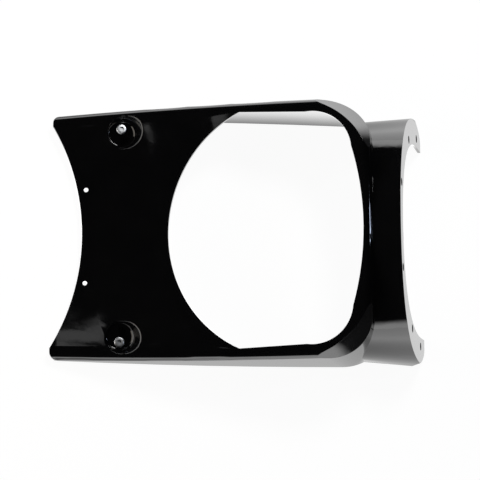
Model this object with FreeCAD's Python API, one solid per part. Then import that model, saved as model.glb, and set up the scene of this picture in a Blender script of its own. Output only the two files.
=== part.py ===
# Front fairing panel of a motorbike, lying face up on its rear edge. Millimetres, +Z up.
# X runs from the chin to the screen flange and Y across. The origin is the bottom centre.
import FreeCAD, Part
import math
import os

from FreeCAD import Vector

# Overall form
LENGTH = 389.0            # chin corners to the foot of the screen flange
WALL = 3.0                # moulded wall
FACE_RISE = 0.36          # rise of the front face per mm from the chin to the brow
CHIN_HEIGHT = 13.0        # height of the face at the chin corners
EDGE_RADIUS = 8.0         # round between the face and the side walls

# Headlight frame
SIDE_HALF_WIDTH = 128.5
SIDE_BOW = 3.0            # each side narrows by this much towards the chin
BROW_LENGTH = 80.0        # ridge of the brow to the foot of the screen flange
FRAME_CROWN = 7.0         # bow of the ridge across the frame
FRAME_CORNER_RADIUS = 46.0
SHOULDER_RADIUS = 94.0    # sloping shoulders at the two brow corners, their round at the foot
SHOULDER_WIDTH = 14.0     # seen on the face
SHOULDER_DRAFT = 30.0     # degrees from square to the face
SHOULDER_LIFT = 0.01      # of the shoulders' flat top above the face
CHIN_CORNER_RADIUS = 8.0

# Brow: an arched hood behind the frame, ending at the screen flange
BROW_STEP = 2.5           # the frame stands this much above the brow at the ridge
BROW_INSET = 6.5          # and this much outside it at the sides
BROW_RISE = 0.5           # rise of the brow per mm towards the flange
BROW_FLARE = 0.08         # widening of each side per mm towards the flange
BROW_SHOULDER = 20.0      # height where the arch springs from the upright sides
ARCH_FULLNESS = 0.64      # 0.55 is an ellipse, more is squarer

# Screen flange: the in-turned rim across the arch
FLANGE_TILT = 22.4        # degrees from upright
FOOT_RADIUS = 20.0        # round of the legs' outer corners, seen from above
FLANGE_WIDTH_TOP = 13.0
FLANGE_WIDTH_SIDE = 22.0
SCREEN_HOLE_RADIUS = 4.0
SCREEN_HOLES = ((0.345, 0.93), (0.79, 0.56), (0.895, 0.186))  # shares of half width and height

# Headlight opening: a D with its round side towards the chin
EYE_LENGTH = 187.0
EYE_ARC_DEPTH = 70.5      # of the round side
EYE_CORNER_LENGTH = 53.5  # of the round between the side and the top edge
EYE_TOP_SAG = 10.5        # bow of the top edge
EYE_CORNER_BULGE = 0.43   # how far the corner arc stands out from its chord, per chord half
RAIL_TOP = 9.5            # frame left beside the opening
RAIL_VERTEX = 10.0
RAIL_SHOULDER = 13.0
RAIL_CORNER = 49.5

# Chin: scooped between two fold lines, with a hollowed lower edge
FOLD_MARGIN = 15.0        # fold line to the side at the chin
SCOOP_DEPTH_CHIN = 14.0
SCOOP_DEPTH_EYE = 10.0
CHIN_HOLLOW = 31.0        # depth of the hollow in the lower edge
CHIN_TOE = 11.5           # width of the edge left beside the hollow
CHIN_HOLE_RADIUS = 2.25
CHIN_HOLE_X = 34.5
CHIN_HOLE_Y = 48.0

# Seats for the mounting screws
SEAT_X = 69.0
SEAT_MARGIN = 22.0        # seat's centre to the side
SEAT_RADIUS = 13.5
SEAT_DEPTH = 9.34         # of the floor under the face, at the seat's centre
SEAT_DRAFT = 25.0         # degrees
SCREW_OUTBOARD = 5.5      # the screw sits this much outboard of the seat's centre
SCREW_RADIUS = 3.0        # M6
SCREW_LENGTH = 20.0
SCREW_CLEARANCE = 0.25    # round the thread in its hole
NECK_RADIUS = 2.65        # plain neck where the screw passes through the panel
NECK_PAST = 1.0           # the neck runs this far below the panel
HEAD_RADIUS = 5.25
HEAD_HEIGHT = 3.6
HEAD_ROUND = 1.2
SOCKET_FLATS = 4.0
SOCKET_DEPTH = 2.0

# Reach of the cutting solids past the panel
PAST = 25.0

SLOPE = math.atan(FACE_RISE)
RUN = 1 / math.cos(SLOPE)  # length along the face per mm of X
TILT = math.tan(math.radians(FLANGE_TILT))
UP = Vector(0, 0, 1)
ACROSS = Vector(0, 1, 0)
FLANGE_NORMAL = Vector(1, 0, TILT).normalize()

FRAME_LENGTH = LENGTH - BROW_LENGTH
CHIN_HALF_WIDTH = SIDE_HALF_WIDTH - SIDE_BOW
BROW_HALF_WIDTH = SIDE_HALF_WIDTH - BROW_INSET
EYE_TOP = FRAME_LENGTH - RAIL_TOP
EYE_SHOULDER = EYE_TOP - EYE_CORNER_LENGTH
EYE_BOTTOM = EYE_TOP - EYE_LENGTH
EYE_VERTEX = EYE_BOTTOM + EYE_ARC_DEPTH
EYE_VERTEX_HALF_WIDTH = SIDE_HALF_WIDTH - RAIL_VERTEX
EYE_SHOULDER_HALF_WIDTH = SIDE_HALF_WIDTH - RAIL_SHOULDER
EYE_TOP_HALF_WIDTH = SIDE_HALF_WIDTH - RAIL_CORNER


def face_height(x):
    """Height of the flat front face above the rear edge."""
    return CHIN_HEIGHT + FACE_RISE * x


def flange_x(z):
    """Place of the outer side of the flange at a height."""
    return LENGTH - TILT * z


RIDGE_HEIGHT = face_height(FRAME_LENGTH) - BROW_STEP
FLANGE_HEIGHT = (RIDGE_HEIGHT + BROW_RISE * BROW_LENGTH) / (1 + BROW_RISE * TILT)
SEAT_Y = CHIN_HALF_WIDTH - SEAT_MARGIN
SEAT_FLOOR = face_height(SEAT_X) - SEAT_DEPTH


def on_face(shape):
    """Lay a shape that is drawn flat, with X along the face, on the sloping face."""
    return shape.rotated(Vector(), ACROSS, -math.degrees(SLOPE)).translated(UP * CHIN_HEIGHT)


def arc(a, b, c):
    """Edge of the circle through three points."""
    return Part.Arc(Vector(*a), Vector(*b), Vector(*c)).toShape()


def line(a, b):
    return Part.makeLine(Vector(*a), Vector(*b))


def prism(edges, direction):
    """Solid swept straight from a closed flat outline."""
    return Part.Face(Part.Wire(Part.__sortEdges__(edges))).extrude(direction)


def arch(x, half_width, height, spring):
    """Closed upright outline at x: an arch, fuller than an ellipse, on legs past the rear edge."""
    edges = [line((x, half_width, -PAST), (x, -half_width, -PAST))]
    for side in (1, -1):
        y = side * half_width
        curve = Part.BezierCurve()
        curve.setPoles([
            Vector(x, y, spring),
            Vector(x, y, spring + ARCH_FULLNESS * (height - spring)),
            Vector(x, ARCH_FULLNESS * y, height),
            Vector(x, 0, height),
        ])
        edges.append(line((x, y, -PAST), (x, y, spring)))
        edges.append(curve.toShape())
    return Part.Wire(Part.__sortEdges__(edges))


def outside_corner(x, y, radius, along, side, inset):
    """Upright solid outside a round corner at x and y, where along and side point out of the panel."""
    middle = Vector(x - along * radius, side * (y - radius), -PAST)
    reach = radius + PAST
    square = Part.makeBox(reach, reach, LENGTH)
    square.translate(middle + Vector(min(along, 0), min(side, 0), 0) * reach)
    return square.cut(Part.makeCylinder(radius - inset, LENGTH, middle))


def rounded_slab(outline, inset):
    """Slab under an outline with round corners and a round rim, drawn in by the inset."""
    core = outline.makeOffset2D(-FRAME_CORNER_RADIUS)
    face = core.makeOffset2D(FRAME_CORNER_RADIUS - inset)
    slab = face.extrude(UP * -LENGTH)
    rim = [e for e in slab.Edges if e.BoundBox.ZMin > -WALL]
    return slab.makeFillet(EDGE_RADIUS - inset, rim).translated(UP * -inset)


def sloping_slab(outline, inset):
    """Slab with sloping sides that clears the straight sides of an outline and cuts its corners."""
    draft = math.radians(SHOULDER_DRAFT)
    core = outline.makeOffset2D(SHOULDER_WIDTH - SHOULDER_RADIUS)
    reach = SHOULDER_RADIUS - SHOULDER_WIDTH + inset * (math.tan(draft) - 1 / math.cos(draft))
    rings = []
    for depth in (0, LENGTH):
        ring = core.makeOffset2D(reach + depth * math.tan(draft)).Wires[0]
        rings.append(ring.translated(UP * (SHOULDER_LIFT - inset - depth)))
    return Part.makeLoft(rings, True, True)


def frame_block(inset):
    """The headlight frame as a block square to its face, drawn in by the inset, past the chin."""
    top = FRAME_LENGTH * RUN
    shoulder = top - FRAME_CROWN * RUN
    middle = top / 3
    side = SIDE_HALF_WIDTH
    low = -2 * FRAME_CORNER_RADIUS
    bow = Part.Circle(Vector(0, CHIN_HALF_WIDTH, 0), Vector(middle, side, 0), Vector(shoulder, side, 0))
    low_y = bow.Center.y + math.sqrt(bow.Radius ** 2 - (low - bow.Center.x) ** 2)
    outline = [
        arc((low, low_y, 0), (middle, side, 0), (shoulder, side, 0)),
        arc((shoulder, side, 0), (top, 0, 0), (shoulder, -side, 0)),
        arc((shoulder, -side, 0), (middle, -side, 0), (low, -low_y, 0)),
        line((low, -low_y, 0), (low, low_y, 0)),
    ]
    sharp = Part.Face(Part.Wire(Part.__sortEdges__(outline)))
    return on_face(rounded_slab(sharp, inset).common(sloping_slab(sharp, inset)))


def brow_block(inset):
    """The arched hood as a block, drawn in by the inset on its outside and at the flange."""
    drop = inset / math.cos(math.atan(BROW_RISE))
    sections = []
    for x in (FRAME_LENGTH / 2, LENGTH + PAST):
        past = x - FRAME_LENGTH
        half_width = BROW_HALF_WIDTH + BROW_FLARE * past - inset
        sections.append(arch(x, half_width, RIDGE_HEIGHT + BROW_RISE * past - drop, BROW_SHOULDER))
    hood = Part.makeLoft(sections, True, True)
    beyond = Part.makeBox(LENGTH, 4 * LENGTH, 4 * LENGTH, Vector(0, -2 * LENGTH, -2 * LENGTH))
    beyond.rotate(Vector(), ACROSS, -FLANGE_TILT)
    foot = Vector(LENGTH, 0, 0) - FLANGE_NORMAL * inset
    beyond.translate(foot)
    hood = hood.cut(beyond)
    end_half_width = BROW_HALF_WIDTH + BROW_FLARE * BROW_LENGTH
    for side in (1, -1):
        hood = hood.cut(outside_corner(LENGTH, end_half_width, FOOT_RADIUS, 1, side, inset))
    return hood


def scoop(inset):
    """Solid above the hollow of the chin, grown by the inset."""
    sections = []
    drop = inset / math.cos(SLOPE)
    for x, half_width, depth in (
        (-PAST, CHIN_HALF_WIDTH - FOLD_MARGIN, SCOOP_DEPTH_CHIN),
        (EYE_VERTEX, EYE_VERTEX_HALF_WIDTH, SCOOP_DEPTH_EYE),
    ):
        z = face_height(x) - drop
        high = z + LENGTH
        sections.append(Part.Wire([
            arc((x, -half_width, z), (x, 0, z - depth), (x, half_width, z)),
            line((x, half_width, z), (x, half_width, high)),
            line((x, half_width, high), (x, -half_width, high)),
            line((x, -half_width, high), (x, -half_width, z)),
        ]))
    return Part.makeLoft(sections, True, True)


def seat(side, inset):
    """Drafted round pocket above a seat's floor, grown by the inset."""
    draft = math.radians(SEAT_DRAFT)
    uphill = SEAT_X + 3 * SEAT_RADIUS
    depth = face_height(uphill) - SEAT_FLOOR + inset
    low = SEAT_RADIUS + inset * (1 / math.cos(draft) - math.tan(draft))
    high = low + depth * math.tan(draft)
    return Part.makeCone(low, high, depth, Vector(SEAT_X, side * SEAT_Y, SEAT_FLOOR - inset))


def eye():
    """Prism of the D-shaped headlight opening, square to the face."""
    low = -PAST
    vertex = EYE_VERTEX * RUN
    shoulder = EYE_SHOULDER * RUN
    top = EYE_TOP * RUN
    top_edge = (EYE_TOP - EYE_TOP_SAG) * RUN
    half_x = (top_edge - shoulder) / 2
    half_y = (EYE_SHOULDER_HALF_WIDTH - EYE_TOP_HALF_WIDTH) / 2
    bulge_x = shoulder + half_x + EYE_CORNER_BULGE * half_y
    bulge_y = EYE_TOP_HALF_WIDTH + half_y + EYE_CORNER_BULGE * half_x
    left = (vertex, -EYE_VERTEX_HALF_WIDTH, low)
    right = (vertex, EYE_VERTEX_HALF_WIDTH, low)
    outline = [
        arc(left, (EYE_BOTTOM * RUN, 0, low), right),
        arc((top_edge, EYE_TOP_HALF_WIDTH, low), (top, 0, low), (top_edge, -EYE_TOP_HALF_WIDTH, low)),
    ]
    for side in (1, -1):
        hip = (shoulder, side * EYE_SHOULDER_HALF_WIDTH, low)
        outline.append(line((vertex, side * EYE_VERTEX_HALF_WIDTH, low), hip))
        outline.append(arc(hip, (bulge_x, side * bulge_y, low), (top_edge, side * EYE_TOP_HALF_WIDTH, low)))
    return on_face(prism(outline, UP * (2 * PAST)))


def chin_trims():
    """Upright solids that end the panel at the chin: its hollow edge, a square end and round corners."""
    half_width = CHIN_HALF_WIDTH - CHIN_TOE
    radius = (half_width ** 2 + CHIN_HOLLOW ** 2) / (2 * CHIN_HOLLOW)
    trims = [
        Part.makeCylinder(radius, LENGTH, Vector(CHIN_HOLLOW - radius, 0, -PAST)),
        Part.makeBox(2 * PAST, LENGTH, LENGTH, Vector(-2 * PAST, -LENGTH / 2, -PAST)),
    ]
    for side in (1, -1):
        trims.append(outside_corner(0, CHIN_HALF_WIDTH, CHIN_CORNER_RADIUS, -1, side, 0))
    return trims


def window():
    """Prism of the opening inside the screen flange."""
    height = FLANGE_HEIGHT - FLANGE_WIDTH_TOP
    outline = arch(flange_x(height), BROW_HALF_WIDTH - FLANGE_WIDTH_SIDE, height, BROW_SHOULDER)
    return Part.Face(outline).extrude(Vector(LENGTH, 0, 0))


def screen_holes():
    """Six holes square to the flange."""
    holes = []
    for across, up in SCREEN_HOLES:
        for side in (1, -1):
            z = up * FLANGE_HEIGHT
            start = Vector(flange_x(z), side * across * BROW_HALF_WIDTH, z) - FLANGE_NORMAL * (2 * WALL)
            holes.append(Part.makeCylinder(SCREEN_HOLE_RADIUS, 4 * WALL, start, FLANGE_NORMAL))
    return holes


def screw_place(side):
    return Vector(SEAT_X, side * (SEAT_Y + SCREW_OUTBOARD), SEAT_FLOOR)


def fairing_panel():
    outer = frame_block(0).fuse(brow_block(0)).cut(scoop(0))
    inner = frame_block(WALL).fuse(brow_block(WALL)).cut(scoop(WALL))
    for side in (1, -1):
        outer = outer.cut(seat(side, 0))
        inner = inner.cut(seat(side, WALL))
    below = Part.makeBox(3 * LENGTH, 3 * LENGTH, LENGTH, Vector(-LENGTH, -1.5 * LENGTH, -LENGTH))
    cuts = [inner, below, eye(), window()] + chin_trims() + screen_holes()
    for side in (1, -1):
        hole = Vector(CHIN_HOLE_X, side * CHIN_HOLE_Y, 0)
        cuts.append(Part.makeCylinder(CHIN_HOLE_RADIUS, LENGTH, hole))
        below_seat = screw_place(side) - UP * LENGTH
        cuts.append(Part.makeCylinder(SCREW_RADIUS + SCREW_CLEARANCE, LENGTH, below_seat))
    panel = outer
    for tool in cuts:
        panel = panel.cut(tool)
    return panel.removeSplitter()


def screw(side):
    """Socket-headed mounting screw, its head on the seat's floor and its shank down through it."""
    place = screw_place(side)
    head = Part.makeCylinder(HEAD_RADIUS, HEAD_HEIGHT, place)
    head = head.makeFillet(HEAD_ROUND, [max(head.Edges, key=lambda e: e.CenterOfMass.z)])
    floor = place + UP * (HEAD_HEIGHT - SOCKET_DEPTH)
    corner = Vector(SOCKET_FLATS / math.sqrt(3), 0, 0)
    hexagon = [floor + FreeCAD.Rotation(UP, 60 * k).multVec(corner) for k in range(7)]
    socket = Part.Face(Part.makePolygon(hexagon)).extrude(UP * (2 * SOCKET_DEPTH))
    neck_length = WALL + NECK_PAST
    neck = Part.makeCylinder(NECK_RADIUS, neck_length, place - UP * neck_length)
    thread = Part.makeCylinder(SCREW_RADIUS, SCREW_LENGTH - neck_length, place - UP * SCREW_LENGTH)
    return head.cut(socket).fuse([neck, thread]).removeSplitter()


def lay(shape):
    """Move a finished shape from the chin corners to the bottom centre."""
    return shape.translated(Vector(-LENGTH / 2, 0, 0))


os.makedirs("parts", exist_ok=True)
lay(fairing_panel()).exportStep("parts/fairing_panel.step")
lay(Part.makeCompound([screw(1), screw(-1)])).exportStep("parts/mounting_screws.step")
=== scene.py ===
# %% [markdown]
# # Front fairing panel of a motorbike
# A gloss black moulding that carries the headlight: a scooped chin with a hollowed lower edge, a
# D-shaped opening, an arched brow behind it and a flange for the screen. Two screws sit in round
# seats in the chin. The panel lies face up on its rear edge, and the camera looks down on it.

# %% load the frame
import math

import bmesh
import bpy
from mathutils import Matrix, Quaternion, Vector
from mathutils.bvhtree import BVHTree
from mathutils.geometry import barycentric_transform
from mathutils.kdtree import KDTree


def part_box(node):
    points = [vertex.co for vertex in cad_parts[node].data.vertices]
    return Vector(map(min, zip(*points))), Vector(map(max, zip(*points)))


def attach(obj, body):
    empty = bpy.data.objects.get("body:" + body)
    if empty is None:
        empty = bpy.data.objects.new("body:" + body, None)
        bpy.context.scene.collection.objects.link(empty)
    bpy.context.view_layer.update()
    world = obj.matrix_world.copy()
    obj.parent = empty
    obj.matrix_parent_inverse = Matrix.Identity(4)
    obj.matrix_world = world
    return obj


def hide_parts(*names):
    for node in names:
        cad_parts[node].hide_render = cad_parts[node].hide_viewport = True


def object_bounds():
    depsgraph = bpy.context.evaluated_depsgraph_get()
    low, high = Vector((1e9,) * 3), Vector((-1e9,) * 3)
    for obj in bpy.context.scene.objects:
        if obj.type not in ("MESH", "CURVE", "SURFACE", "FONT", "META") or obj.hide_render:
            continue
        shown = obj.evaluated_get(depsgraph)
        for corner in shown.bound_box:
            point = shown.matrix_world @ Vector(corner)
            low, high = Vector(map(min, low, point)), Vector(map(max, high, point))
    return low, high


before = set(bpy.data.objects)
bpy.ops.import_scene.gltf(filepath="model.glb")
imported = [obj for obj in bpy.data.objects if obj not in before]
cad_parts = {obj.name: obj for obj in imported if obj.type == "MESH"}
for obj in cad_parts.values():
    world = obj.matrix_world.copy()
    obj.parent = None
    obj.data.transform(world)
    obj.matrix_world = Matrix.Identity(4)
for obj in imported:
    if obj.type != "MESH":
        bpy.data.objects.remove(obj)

box_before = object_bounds()
MM = 0.001
PANEL = "fairing_panel"
SCREWS = "mounting_screws"
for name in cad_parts:
    low, high = ([round(v / MM, 1) for v in corner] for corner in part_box(name))
    print(name, "from", low, "to", high, "mm")

# %% [markdown]
# ## Helpers for nodes
# Colours are picked as sRGB hex, as a paint chart gives them, and the renderer works in linear
# light, so one function changes the first into the second. The others add a node with its settings
# and links, a sum, or a ramp from one range of values to another.

# %% helpers for nodes
FULL_RANGE = (0.0, 1.0)


def linear(hex_colour):
    """sRGB hex to linear RGBA."""
    out = []
    for k in (1, 3, 5):
        v = int(hex_colour[k:k + 2], 16) / 255
        out.append(v / 12.92 if v <= 0.04045 else ((v + 0.055) / 1.055) ** 2.4)
    return (*out, 1.0)


def add(tree, kind, settings=None, inputs=None):
    """New node with its settings and its inputs: a value, or another node's output to link."""
    node = tree.nodes.new(kind)
    for key, value in (settings or {}).items():
        setattr(node, key, value)
    for key, value in (inputs or {}).items():
        if isinstance(value, bpy.types.NodeSocket):
            tree.links.new(value, node.inputs[key])
        else:
            node.inputs[key].default_value = value
    return node


def maths(tree, operation, *values):
    node = add(tree, "ShaderNodeMath", {"operation": operation}, dict(enumerate(values)))
    return node.outputs["Value"]


def ramp(tree, value, ends, results, shape="LINEAR"):
    """The value's way between two ends, as a way between two results."""
    node = add(tree, "ShaderNodeMapRange", {"interpolation_type": shape}, {
        "Value": value, "From Min": ends[0], "From Max": ends[1],
        "To Min": results[0], "To Max": results[1]})
    return node.outputs["Result"]


def texture_place(tree, kind):
    return add(tree, "ShaderNodeTexCoord").outputs[kind]


def split(tree, vector):
    return add(tree, "ShaderNodeSeparateXYZ", None, {"Vector": vector}).outputs


def noise(tree, size_mm, detail, roughness=0.5):
    """Noise whose pattern has this size on the object."""
    node = add(tree, "ShaderNodeTexNoise", None, {
        "Vector": texture_place(tree, "Object"), "Scale": 1 / (size_mm * MM), "Detail": detail,
        "Roughness": roughness})
    return node.outputs["Fac"]


def blank_material(name):
    material = bpy.data.materials.new(name)
    material.use_nodes = True
    material.node_tree.nodes.clear()
    return material, material.node_tree


print("helpers for nodes ready")

# %% [markdown]
# ## Helpers for meshes
# A modifier's result is taken as a plain mesh, so that nothing is left to work out later. A finished
# mesh is smooth inside each surface and crisp at its folds.

# %% helpers for meshes
CREASE = math.radians(24)


def new_object(name, data):
    obj = bpy.data.objects.new(name, data)
    bpy.context.scene.collection.objects.link(obj)
    return obj


def plain_mesh(obj, name):
    """The mesh that an object's modifiers make. The object itself goes."""
    evaluated = obj.evaluated_get(bpy.context.evaluated_depsgraph_get())
    mesh = bpy.data.meshes.new_from_object(evaluated)
    start = obj.data
    bpy.data.objects.remove(obj)
    bpy.data.meshes.remove(start)
    mesh.name = name
    return mesh


def dress(mesh, material, sliver=0.0):
    """Drop faces thinner than a sliver, shade with crisp folds and give one material."""
    bm = bmesh.new()
    bm.from_mesh(mesh)
    if sliver:
        bmesh.ops.dissolve_degenerate(bm, dist=sliver, edges=bm.edges)
    for face in bm.faces:
        face.smooth = True
        face.material_index = 0
    for edge in bm.edges:
        edge.smooth = len(edge.link_faces) == 2 and edge.calc_face_angle(0) < CREASE
    bm.to_mesh(mesh)
    bm.free()
    mesh.materials.clear()
    mesh.materials.append(material)


print("helpers for meshes ready")

# %% [markdown]
# ## Gloss black plastic
# The panel is injection moulded in ABS and comes glossy out of a polished mould, so nearly all that
# is seen is reflection. What tells plastic from glass is the faint waviness of the skin and a little
# handling haze.

# %% gloss black plastic
BLACK_TONES = ("#060607", "#0d0d0e")
HAZE_SIZE = 28                   # mm
HAZE_SHOWS = (0.45, 0.8)         # values of the noise from no haze to full haze
HAZE_ROUGHNESS = (0.035, 0.11)
SKIN_WAVE_SIZE = 6               # mm
SKIN_WAVE_DEPTH = 0.4 * MM
SKIN_WAVE_SHARE = 0.012
ABS_IOR = 1.52


def gloss_black_plastic():
    material, tree = blank_material("ABS plastic, gloss black moulded")
    haze = noise(tree, HAZE_SIZE, detail=5.0, roughness=0.6)
    tone = add(tree, "ShaderNodeMixRGB", None, {
        "Fac": haze, "Color1": linear(BLACK_TONES[0]), "Color2": linear(BLACK_TONES[1])})
    wave = add(tree, "ShaderNodeBump", None, {
        "Strength": SKIN_WAVE_SHARE, "Distance": SKIN_WAVE_DEPTH,
        "Height": noise(tree, SKIN_WAVE_SIZE, detail=2.0)})
    shader = add(tree, "ShaderNodeBsdfPrincipled", None, {
        "Base Color": tone.outputs["Color"], "IOR": ABS_IOR, "Normal": wave.outputs["Normal"],
        "Roughness": ramp(tree, haze, HAZE_SHOWS, HAZE_ROUGHNESS)})
    add(tree, "ShaderNodeOutputMaterial", None, {"Surface": shader.outputs["BSDF"]})
    return material


plastic = gloss_black_plastic()
print("material:", plastic.name)

# %% [markdown]
# ## Zinc plated steel
# The screws are cold headed and barrel plated. The plating is fine grained and slightly uneven in
# tone, and tumbling in the barrel leaves small dents.

# %% zinc plated steel
ZINC_TONES = ("#b0b3b7", "#eff0f1")
GRAIN_SIZE = 1.2                 # mm
GRAIN_SHOWS = (0.3, 0.7)         # values of the noise from the smoothest to the roughest
ZINC_ROUGHNESS = (0.25, 0.45)
DENT_DEPTH = 0.05 * MM
DENT_SHARE = 0.25


def zinc_plated_steel():
    material, tree = blank_material("steel, zinc plated")
    grain = noise(tree, GRAIN_SIZE, detail=6.0, roughness=0.7)
    tone = add(tree, "ShaderNodeMixRGB", None, {
        "Fac": grain, "Color1": linear(ZINC_TONES[0]), "Color2": linear(ZINC_TONES[1])})
    dents = add(tree, "ShaderNodeBump", None, {
        "Strength": DENT_SHARE, "Distance": DENT_DEPTH, "Height": grain})
    shader = add(tree, "ShaderNodeBsdfPrincipled", None, {
        "Base Color": tone.outputs["Color"], "Metallic": 1.0, "Normal": dents.outputs["Normal"],
        "Roughness": ramp(tree, grain, GRAIN_SHOWS, ZINC_ROUGHNESS)})
    add(tree, "ShaderNodeOutputMaterial", None, {"Surface": shader.outputs["BSDF"]})
    return material


zinc = zinc_plated_steel()
print("material:", zinc.name)

# %% [markdown]
# ## Rounds on the panel's folds
# The CAD solid has the panel's form. No edge of a moulding is truly sharp, because the mould's own
# edges are broken by a stone, and a seat that was turned in the mould has a clear round. These rounds
# catch the light, so they are cut into a copy of the mesh. Where three folds meet, the corner is left
# as it is.

# %% rounds on the panel's folds
SAME_POINT = 0.002 * MM
FOLD_ROUND = 0.3 * MM
FOLD_SEGMENTS = 2
CORNER_CLEAR = 5.0 * MM          # a fold's round stops this far from a corner
SHORTEST_FOLD = 0.5 * MM
SEAT_CENTRES = (Vector((-125.5, 103.5)) * MM, Vector((-125.5, -103.5)) * MM)
SEAT_REACH = (12.5 * MM, 22.0 * MM)   # a seat's floor edge and rim lie this far from its axis
SEAT_RIM_ROUND = 1.0 * MM
SEAT_RIM_SEGMENTS = 3
SEAT_FLOOR = 28.5 * MM
SEAT_FLOOR_LEVEL = 0.01 * MM
SEAT_FLOOR_ROUND = 4.0 * MM      # where the seat's wall is highest
SEAT_FLOOR_SEGMENTS = 6
SEAT_WALL_SPAN = (-141.0 * MM, -112.0 * MM)   # from the seats' low side to their high side
SEAT_LOW_SHARE = 0.3             # share of the floor's round that is left at the low side


def middle(edge):
    return (edge.verts[0].co + edge.verts[1].co) / 2


def folds_of(bm):
    return [edge for edge in bm.edges
            if len(edge.link_faces) == 2 and edge.calc_face_angle(0) > CREASE]


def at_seat(edge):
    reach = [(middle(edge).xy - centre).length for centre in SEAT_CENTRES]
    return SEAT_REACH[0] < min(reach) < SEAT_REACH[1]


def on_seat_floor(edge):
    return all(abs(vert.co.z - SEAT_FLOOR) < SEAT_FLOOR_LEVEL for vert in edge.verts)


def clear_folds(bm):
    """Folds that are long enough for a round and away from the corners."""
    folds = [edge for edge in folds_of(bm) if not at_seat(edge)]
    meeting = {}
    for edge in folds:
        for vert in edge.verts:
            meeting[vert] = meeting.get(vert, 0) + 1
    corners = [vert.co for vert, count in meeting.items() if count != 2]
    corners += [middle(edge) for edge in folds if edge.calc_length() < SHORTEST_FOLD]
    tree = KDTree(len(corners))
    for k, corner in enumerate(corners):
        tree.insert(corner, k)
    tree.balance()
    return [edge for edge in folds if tree.find(middle(edge))[2] > CORNER_CLEAR]


def round_edges(bm, edges, width, segments):
    bmesh.ops.bevel(bm, geom=edges, offset=width, segments=segments, profile=0.5,
                    affect="EDGES", clamp_overlap=False)


def rounded_copy(source, name):
    """A copy of the CAD mesh with its rounds. A seat floor's round follows the wall's height."""
    mesh = source.copy()
    bm = bmesh.new()
    bm.from_mesh(mesh)
    bmesh.ops.remove_doubles(bm, verts=bm.verts, dist=SAME_POINT)
    round_edges(bm, clear_folds(bm), FOLD_ROUND, FOLD_SEGMENTS)
    rims = [edge for edge in folds_of(bm) if at_seat(edge) and not on_seat_floor(edge)]
    round_edges(bm, rims, SEAT_RIM_ROUND, SEAT_RIM_SEGMENTS)
    share = bm.edges.layers.float.new("bevel_weight_edge")
    for edge in folds_of(bm):
        if at_seat(edge) and on_seat_floor(edge):
            along = (middle(edge).x - SEAT_WALL_SPAN[0]) / (SEAT_WALL_SPAN[1] - SEAT_WALL_SPAN[0])
            edge[share] = SEAT_LOW_SHARE + (1 - SEAT_LOW_SHARE) * min(max(along, 0.0), 1.0)
    bm.to_mesh(mesh)
    bm.free()
    blank = new_object("seat floors", mesh)
    floors = blank.modifiers.new("seat floor round", "BEVEL")
    floors.limit_method = "WEIGHT"
    floors.width = SEAT_FLOOR_ROUND
    floors.segments = SEAT_FLOOR_SEGMENTS
    floors.use_clamp_overlap = False
    return plain_mesh(blank, name)


cad_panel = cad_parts[PANEL].data
panel_mesh = rounded_copy(cad_panel, "fairing_panel_skin")
print("rounded panel:", len(panel_mesh.polygons), "faces from", len(cad_panel.polygons))

# %% [markdown]
# ## Shading from the CAD surface
# Gloss shows the smallest step between two faces. The CAD mesh knows how its true surface faces at
# each corner, so the rounded copy takes over that facing where it lies on the CAD surface. The rounds
# blend between their neighbours.

# %% shading from the CAD surface
SLIVER = 0.005 * MM
INTO_FACE = 0.02                 # share of the way to the face's middle where a corner is looked up
SAME_SURFACE = 0.03 * MM
SAME_FACING = math.cos(math.radians(12))
BLEND_FACING = math.cos(math.radians(40))


def corners_of(mesh):
    """Each face with each of its corners and the number of that corner's point."""
    for face in mesh.polygons:
        for loop in face.loop_indices:
            yield face, loop, mesh.loops[loop].vertex_index


def keep_true_normals(mesh, source):
    """Shade each face by the CAD surface that it lies on, and give back how many corners do."""
    points = [vert.co for vert in source.vertices]
    tree = BVHTree.FromPolygons(points, [tuple(face.vertices) for face in source.polygons])
    true = {}
    at_vert = {}
    for face, loop, vert in corners_of(mesh):
        start = mesh.vertices[vert].co.lerp(face.center, INTO_FACE)
        spot, facing, index, distance = tree.find_nearest(start)
        if distance > SAME_SURFACE or facing.dot(face.normal) < SAME_FACING:
            continue
        under = source.polygons[index]
        flat = [points[k] for k in under.vertices]
        bends = [source.corner_normals[k].vector for k in under.loop_indices]
        normal = barycentric_transform(spot, *flat, *bends).normalized()
        if normal.dot(face.normal) > SAME_FACING:
            true[loop] = normal
            at_vert.setdefault(vert, []).append(normal)
    normals = []
    for face, loop, vert in corners_of(mesh):
        near = [n for n in at_vert.get(vert, []) if n.dot(face.normal) > BLEND_FACING]
        blend = sum(near, Vector()) if near else mesh.corner_normals[loop].vector
        normals.append(true.get(loop, blend).normalized())
    mesh.normals_split_custom_set(normals)
    return len(true)


dress(panel_mesh, plastic, SLIVER)
kept = keep_true_normals(panel_mesh, cad_panel)
panel = new_object("fairing_panel_skin", panel_mesh)
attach(panel, "root")
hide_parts(PANEL)
print("panel:", len(panel_mesh.polygons), "faces;", kept, "of its", len(panel_mesh.loops),
      "corners are shaded by the CAD surface")

# %% [markdown]
# ## A screw as a node tree
# Each M6 screw is cold headed, its thread is rolled, and a hexagon punch makes the socket. The tree
# makes the screw once and puts it at each place: a head whose upper edge is rounded ring by ring, a
# shank whose radius follows the thread's rise round the axis, and a socket cut out of the head.

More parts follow.
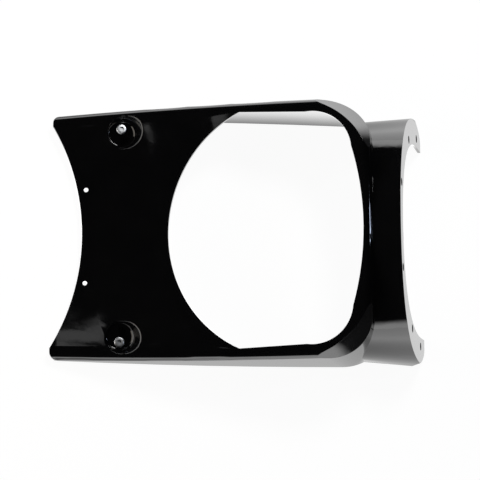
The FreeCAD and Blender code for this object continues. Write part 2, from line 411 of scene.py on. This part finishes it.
# %% a screw as a node tree
HEAD_SIDES, HEAD_RINGS = 48, 6
SHANK_SIDES, SHANK_RINGS = 24, 120
SOCKET_SIDES = 6
SCREW_SIZES = {   # metres
    "Head Radius": 5.25 * MM, "Head Height": 3.6 * MM, "Head Round": 1.2 * MM,
    "Socket Radius": 4.0 * MM / math.sqrt(3), "Socket Depth": 2.0 * MM,
    "Neck Radius": 2.65 * MM, "Neck Length": 4.0 * MM, "Core Radius": 2.45 * MM,
    "Thread Radius": 3.0 * MM, "Pitch": 1.0 * MM, "Length": 20.0 * MM, "Into Head": 0.6 * MM}


def screw_tree():
    tree = bpy.data.node_groups.new("socket screws", "GeometryNodeTree")
    sockets = [("Places", "INPUT", "NodeSocketGeometry")]
    sockets += [(name, "INPUT", "NodeSocketFloat") for name in SCREW_SIZES]
    sockets += [("Finish", "INPUT", "NodeSocketMaterial"), ("Screws", "OUTPUT", "NodeSocketGeometry")]
    for name, way, kind in sockets:
        tree.interface.new_socket(name, in_out=way, socket_type=kind)
    size = add(tree, "NodeGroupInput").outputs
    at = split(tree, add(tree, "GeometryNodeInputPosition").outputs["Position"])

    def calc(operation, *values):
        return maths(tree, operation, *values)

    def cylinder(sides, rings, radius, depth):
        return add(tree, "GeometryNodeMeshCylinder", None, {
            "Vertices": sides, "Side Segments": rings, "Radius": radius,
            "Depth": depth}).outputs["Mesh"]

    def reshaped(mesh, across, height):
        """Each point's distance from the axis times one field, and its height from another."""
        spot = add(tree, "ShaderNodeCombineXYZ", None, {
            "X": calc("MULTIPLY", at["X"], across), "Y": calc("MULTIPLY", at["Y"], across),
            "Z": height})
        return add(tree, "GeometryNodeSetPosition", None, {
            "Geometry": mesh, "Position": spot.outputs["Vector"]}).outputs["Geometry"]

    def head():
        """The first ring is its underside, the second ends its straight wall, the rest its round."""
        height, rim = size["Head Height"], size["Head Round"]
        ring = calc("MULTIPLY", calc("ADD", calc("DIVIDE", at["Z"], height), 0.5), HEAD_RINGS)
        past_wall = calc("MAXIMUM", calc("SUBTRACT", ring, 1.0), 0.0)
        turn = calc("MULTIPLY", past_wall, math.pi / 2 / (HEAD_RINGS - 1))
        wall = calc("MULTIPLY", calc("SUBTRACT", height, rim), calc("GREATER_THAN", ring, 0.5))
        rise = calc("ADD", wall, calc("MULTIPLY", rim, calc("SINE", turn)))
        drawn_in = calc("MULTIPLY", rim, calc("SUBTRACT", 1.0, calc("COSINE", turn)))
        across = calc("SUBTRACT", 1.0, calc("DIVIDE", drawn_in, size["Head Radius"]))
        return reshaped(cylinder(HEAD_SIDES, HEAD_RINGS, size["Head Radius"], height), across, rise)

    def shank():
        """A plain neck, then a thread whose rise is one pitch for each turn."""
        reach = calc("ADD", size["Length"], size["Into Head"])
        top = calc("SUBTRACT", calc("DIVIDE", reach, 2.0), size["Into Head"])
        level = calc("SUBTRACT", at["Z"], top)
        round_axis = calc("DIVIDE", calc("ARCTAN2", at["Y"], at["X"]), math.tau)
        phase = calc("SUBTRACT", calc("DIVIDE", level, size["Pitch"]), round_axis)
        crest = calc("MULTIPLY", calc("PINGPONG", phase, 0.5), 2.0)
        depth = calc("SUBTRACT", size["Thread Radius"], size["Core Radius"])
        thread = calc("ADD", size["Core Radius"], calc("MULTIPLY", depth, crest))
        is_thread = calc("LESS_THAN", level, calc("MULTIPLY", size["Neck Length"], -1.0))
        plain = calc("MULTIPLY", size["Neck Radius"], calc("SUBTRACT", 1.0, is_thread))
        radius = calc("ADD", plain, calc("MULTIPLY", thread, is_thread))
        return reshaped(cylinder(SHANK_SIDES, SHANK_RINGS, size["Thread Radius"], reach),
                        calc("DIVIDE", radius, size["Thread Radius"]), level)

    def socket():
        """A hexagon rod with its middle at the head's top, so that half of it cuts."""
        up = add(tree, "ShaderNodeCombineXYZ", None, {"Z": size["Head Height"]})
        rod = cylinder(SOCKET_SIDES, 1, size["Socket Radius"],
                       calc("MULTIPLY", size["Socket Depth"], 2.0))
        return add(tree, "GeometryNodeTransform", None, {
            "Geometry": rod, "Translation": up.outputs["Vector"]}).outputs["Geometry"]

    whole = add(tree, "GeometryNodeMeshBoolean", {"operation": "UNION", "solver": "EXACT"})
    for piece in (head(), shank()):
        tree.links.new(piece, whole.inputs["Mesh 2"])
    cut = add(tree, "GeometryNodeMeshBoolean", {"operation": "DIFFERENCE", "solver": "EXACT"}, {
        "Mesh 1": whole.outputs["Mesh"], "Mesh 2": socket()})
    each = add(tree, "GeometryNodeInstanceOnPoints", None, {
        "Points": size["Places"], "Instance": cut.outputs["Mesh"]})
    real = add(tree, "GeometryNodeRealizeInstances", None, {"Geometry": each.outputs["Instances"]})
    done = add(tree, "GeometryNodeSetMaterial", None, {
        "Geometry": real.outputs["Geometry"], "Material": size["Finish"]})
    add(tree, "NodeGroupOutput", None, {"Screws": done.outputs["Geometry"]})
    return tree


screw_nodes = screw_tree()
print("screw tree:", len(screw_nodes.nodes), "nodes")

# %% [markdown]
# ## The two screws
# The screws hold the panel by its seats. The tree runs on two points, one on each seat's floor, and
# its result is kept as one mesh.

# %% the two screws
SCREW_PLACES = (Vector((-125.5, 109.0, 28.5)) * MM, Vector((-125.5, -109.0, 28.5)) * MM)


def socket_screws():
    places = bpy.data.meshes.new("screw_places")
    places.from_pydata([tuple(spot) for spot in SCREW_PLACES], [], [])
    maker = new_object("screw_maker", places)
    nodes = maker.modifiers.new("screws", "NODES")
    nodes.node_group = screw_nodes
    values = {**SCREW_SIZES, "Finish": zinc}
    for item in screw_nodes.interface.items_tree:
        if item.name in values:
            nodes[item.identifier] = values[item.name]
    mesh = plain_mesh(maker, "mounting_screws_turned")
    dress(mesh, zinc)
    return new_object("mounting_screws_turned", mesh)


screws = socket_screws()
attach(screws, "root")
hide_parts(SCREWS)
print("screws:", len(screws.data.polygons), "faces")

# %% [markdown]
# ## Ground and room
# The photograph shows the panel on white with no edge to the ground. A gloss black surface needs
# something white beside it and something dark above it, so the white sweep ends a little above the
# horizon and the room overhead is dark. The lit sheet also ends a little past the brow. To the camera
# ground and room are plain white, and the ground keeps a soft shadow.
# As reflections see it, the ground's glow is dimmed close to the panel, a painted shadow of the
# panel, and it rises again inside the opening, painted light falling through it.

# %% ground and room
WHITE = "#ffffff"
CARD = "#f4f4f4"
SWEEP_TOP = 4.0           # degrees above the horizon where the white sweep begins to fade
SWEEP_FADE = 8.0          # degrees
SWEEP_LIGHT = 3.6         # the overlit sweep as reflections see it, where the camera's white is 1
SWEEP_END = (0.50, 0.80)  # how far a direction points to the brow's side where the sweep fades out
ROOM = 0.004              # light from the dark room overhead
GROUND_SIZE = 12.0        # metres
GROUND_DROP = 0.4 * MM    # below the panel's rear edge
GROUND_GLOW = 1.13        # the card's own white, before the lamps' light
GROUND_SHADE = 0.16       # share of the card that shows light and shadow
# Painted shadow: as reflections see it, the ground's glow is dimmed close to the panel, less past its
# two ends than at its sides, and rises again inside the opening as painted light falling through it.
SIDE_SHADOW_GLOW = 0.8            # the ground close to the panel's sides, as reflections see it
END_SHADOW_GLOW = 1.5             # the same past its two ends
GROUND_SHADOW_REACH = 0.25   # metres outside the panel to where the card is fully lit
OPENING_SHADOW_REACH = 0.02  # the same inside it, where light falls through the opening
SHEET_END = 0.30          # metres past the panel's middle, on the brow's side
SHEET_FADE = 0.22         # metres
SHEET_BEYOND = 0.01       # share of the light that is left beyond the end


def ground_material():
    material, tree = blank_material("white card ground")
    by_camera = add(tree, "ShaderNodeLightPath").outputs["Is Camera Ray"]
    place = split(tree, texture_place(tree, "Object"))
    # Painted shadow of the panel on the ground, as reflections see it: the glow is dimmed near the
    # panel's outline and rises away from it, both outside and inside the opening.
    past_end, past_side = (
        maths(tree, "SUBTRACT", maths(tree, "ABSOLUTE", place[axis]), box_before[1][k])
        for k, axis in enumerate("XY"))
    away = maths(tree, "MAXIMUM", past_end, past_side)
    at_end = maths(tree, "GREATER_THAN", past_end, past_side)
    painted_shadow = ramp(tree, at_end, FULL_RANGE, (SIDE_SHADOW_GLOW, END_SHADOW_GLOW))
    outside, inside = (
        ramp(tree, away, (0.0, reach), (painted_shadow, SWEEP_LIGHT), "SMOOTHSTEP")
        for reach in (GROUND_SHADOW_REACH, -OPENING_SHADOW_REACH))
    sheet = ramp(tree, place["X"], (SHEET_END, SHEET_END + SHEET_FADE), (1.0, SHEET_BEYOND),
                 "SMOOTHSTEP")
    lit = maths(tree, "MULTIPLY", maths(tree, "MAXIMUM", outside, inside), sheet)
    glow = add(tree, "ShaderNodeEmission", None, {
        "Color": linear(WHITE), "Strength": ramp(tree, by_camera, FULL_RANGE, (lit, GROUND_GLOW))})
    card = add(tree, "ShaderNodeBsdfDiffuse", None, {"Color": linear(CARD)})
    both = add(tree, "ShaderNodeMixShader", None, {
        "Fac": GROUND_SHADE, 1: glow.outputs["Emission"], 2: card.outputs["BSDF"]})
    add(tree, "ShaderNodeOutputMaterial", None, {"Surface": both.outputs["Shader"]})
    return material


def room_world():
    world = bpy.data.worlds.new("dark room above a white sweep")
    world.use_nodes = True
    tree = world.node_tree
    tree.nodes.clear()
    by_camera = add(tree, "ShaderNodeLightPath").outputs["Is Camera Ray"]
    towards = split(tree, texture_place(tree, "Generated"))
    fade = [math.sin(math.radians(angle)) for angle in (SWEEP_TOP, SWEEP_TOP + SWEEP_FADE)]
    sweep = ramp(tree, towards["Z"], fade, (SWEEP_LIGHT, ROOM), "SMOOTHSTEP")
    sheet = ramp(tree, towards["X"], SWEEP_END, (1.0, SHEET_BEYOND), "SMOOTHSTEP")
    lit = maths(tree, "MULTIPLY", sweep, sheet)
    sky = add(tree, "ShaderNodeBackground", None, {
        "Color": linear(WHITE), "Strength": ramp(tree, by_camera, FULL_RANGE, (lit, 1.0))})
    add(tree, "ShaderNodeOutputWorld", None, {"Surface": sky.outputs["Background"]})
    return world


bpy.ops.mesh.primitive_plane_add(size=GROUND_SIZE)
ground = bpy.context.object
ground.name = "ground"
ground.location.z = -GROUND_DROP
ground.data.materials.append(ground_material())
bpy.context.scene.world = room_world()
print("ground of", GROUND_SIZE, "m and", bpy.context.scene.world.name)

# %% [markdown]
# ## Lamps
# A lamp shows on gloss only where a surface mirrors it to the camera. So each one is placed from a
# point of the panel, in the direction that the point mirrors, and its brightness is the one that the
# reflection shows. The key lamp lights the ground and the screws.

# %% lamps
# name, point in mm, direction, distance and size in metres, brightness, tint, turn in degrees
LAMPS = (
    ("key lamp", (0, 0, 60), (0.15, 0.50, 0.85), 1.5, (0.35, 0.35), 15.0, WHITE, 0),
    ("white board at the chin", (0, 0, 30), (-0.92, 0.0, 0.36), 1.2, (1.0, 0.5), 2.2, "#fff6ea", 0),
    ("strip lamp over the brow", (111, 2, 122), (0.62, 0.177, 0.765), 1.5, (0.11, 0.16), 22.0,
     "#d5e3ff", 0),
    ("card by the near seat", (-162, -102, 22), (-0.561, 0.455, 0.690), 0.5, (0.010, 0.066), 0.9,
     WHITE, 20),
    ("card by the far seat", (-100, 104, 45), (-0.563, -0.100, 0.820), 0.5, (0.008, 0.008), 0.8,
     WHITE, 0),
    ("card by the opening", (-29, 110, 71), (-0.525, -0.063, 0.849), 0.5, (0.008, 0.020), 0.8,
     WHITE, 0))


def lamp(name, point, direction, distance, size, brightness, tint, turn):
    data = bpy.data.lights.new(name, "AREA")
    data.shape = "RECTANGLE"
    data.size, data.size_y = size
    data.energy = brightness * math.pi * size[0] * size[1]
    data.color = linear(tint)[:3]
    obj = new_object(name, data)
    out = Vector(direction).normalized()
    obj.location = Vector(point) * MM + out * distance
    facing = out.to_track_quat("Z", "Y") @ Quaternion((0, 0, 1), math.radians(turn))
    obj.rotation_euler = facing.to_euler()
    obj.visible_camera = False
    return obj


lamps = [lamp(*row) for row in LAMPS]
print(len(lamps), "lamps")

# %% [markdown]
# ## Camera
# The view comes from how the panel's mirrored features shift between its two sides: nearly straight
# down, a little from the chin and from the near side, with a long lens.

# %% camera
LENS = 120.0              # mm
SENSOR = 36.0             # mm
DISTANCE = 1.6            # metres
TARGET = Vector((-7.8, -8.0, 60.0)) * MM
BACK = Vector((-0.1355, -0.1642, 0.9771)).normalized()
ROLL = -0.0023            # radians

level_right = Vector((0, 1, 0)).cross(BACK).normalized()
level_up = BACK.cross(level_right)
right = math.cos(ROLL) * level_right + math.sin(ROLL) * level_up
up = BACK.cross(right)
camera_data = bpy.data.cameras.new("camera")
camera_data.lens = LENS
camera_data.sensor_width = SENSOR
camera = new_object("camera", camera_data)
spot = TARGET + BACK * DISTANCE
camera.matrix_world = Matrix.Translation(spot) @ Matrix((right, up, BACK)).transposed().to_4x4()
bpy.context.scene.camera = camera
bpy.context.scene.view_settings.view_transform = "Standard"
print("camera at", [round(v, 3) for v in spot])

# %% finish
print("box before", [[round(c, 5) for c in v] for v in box_before])
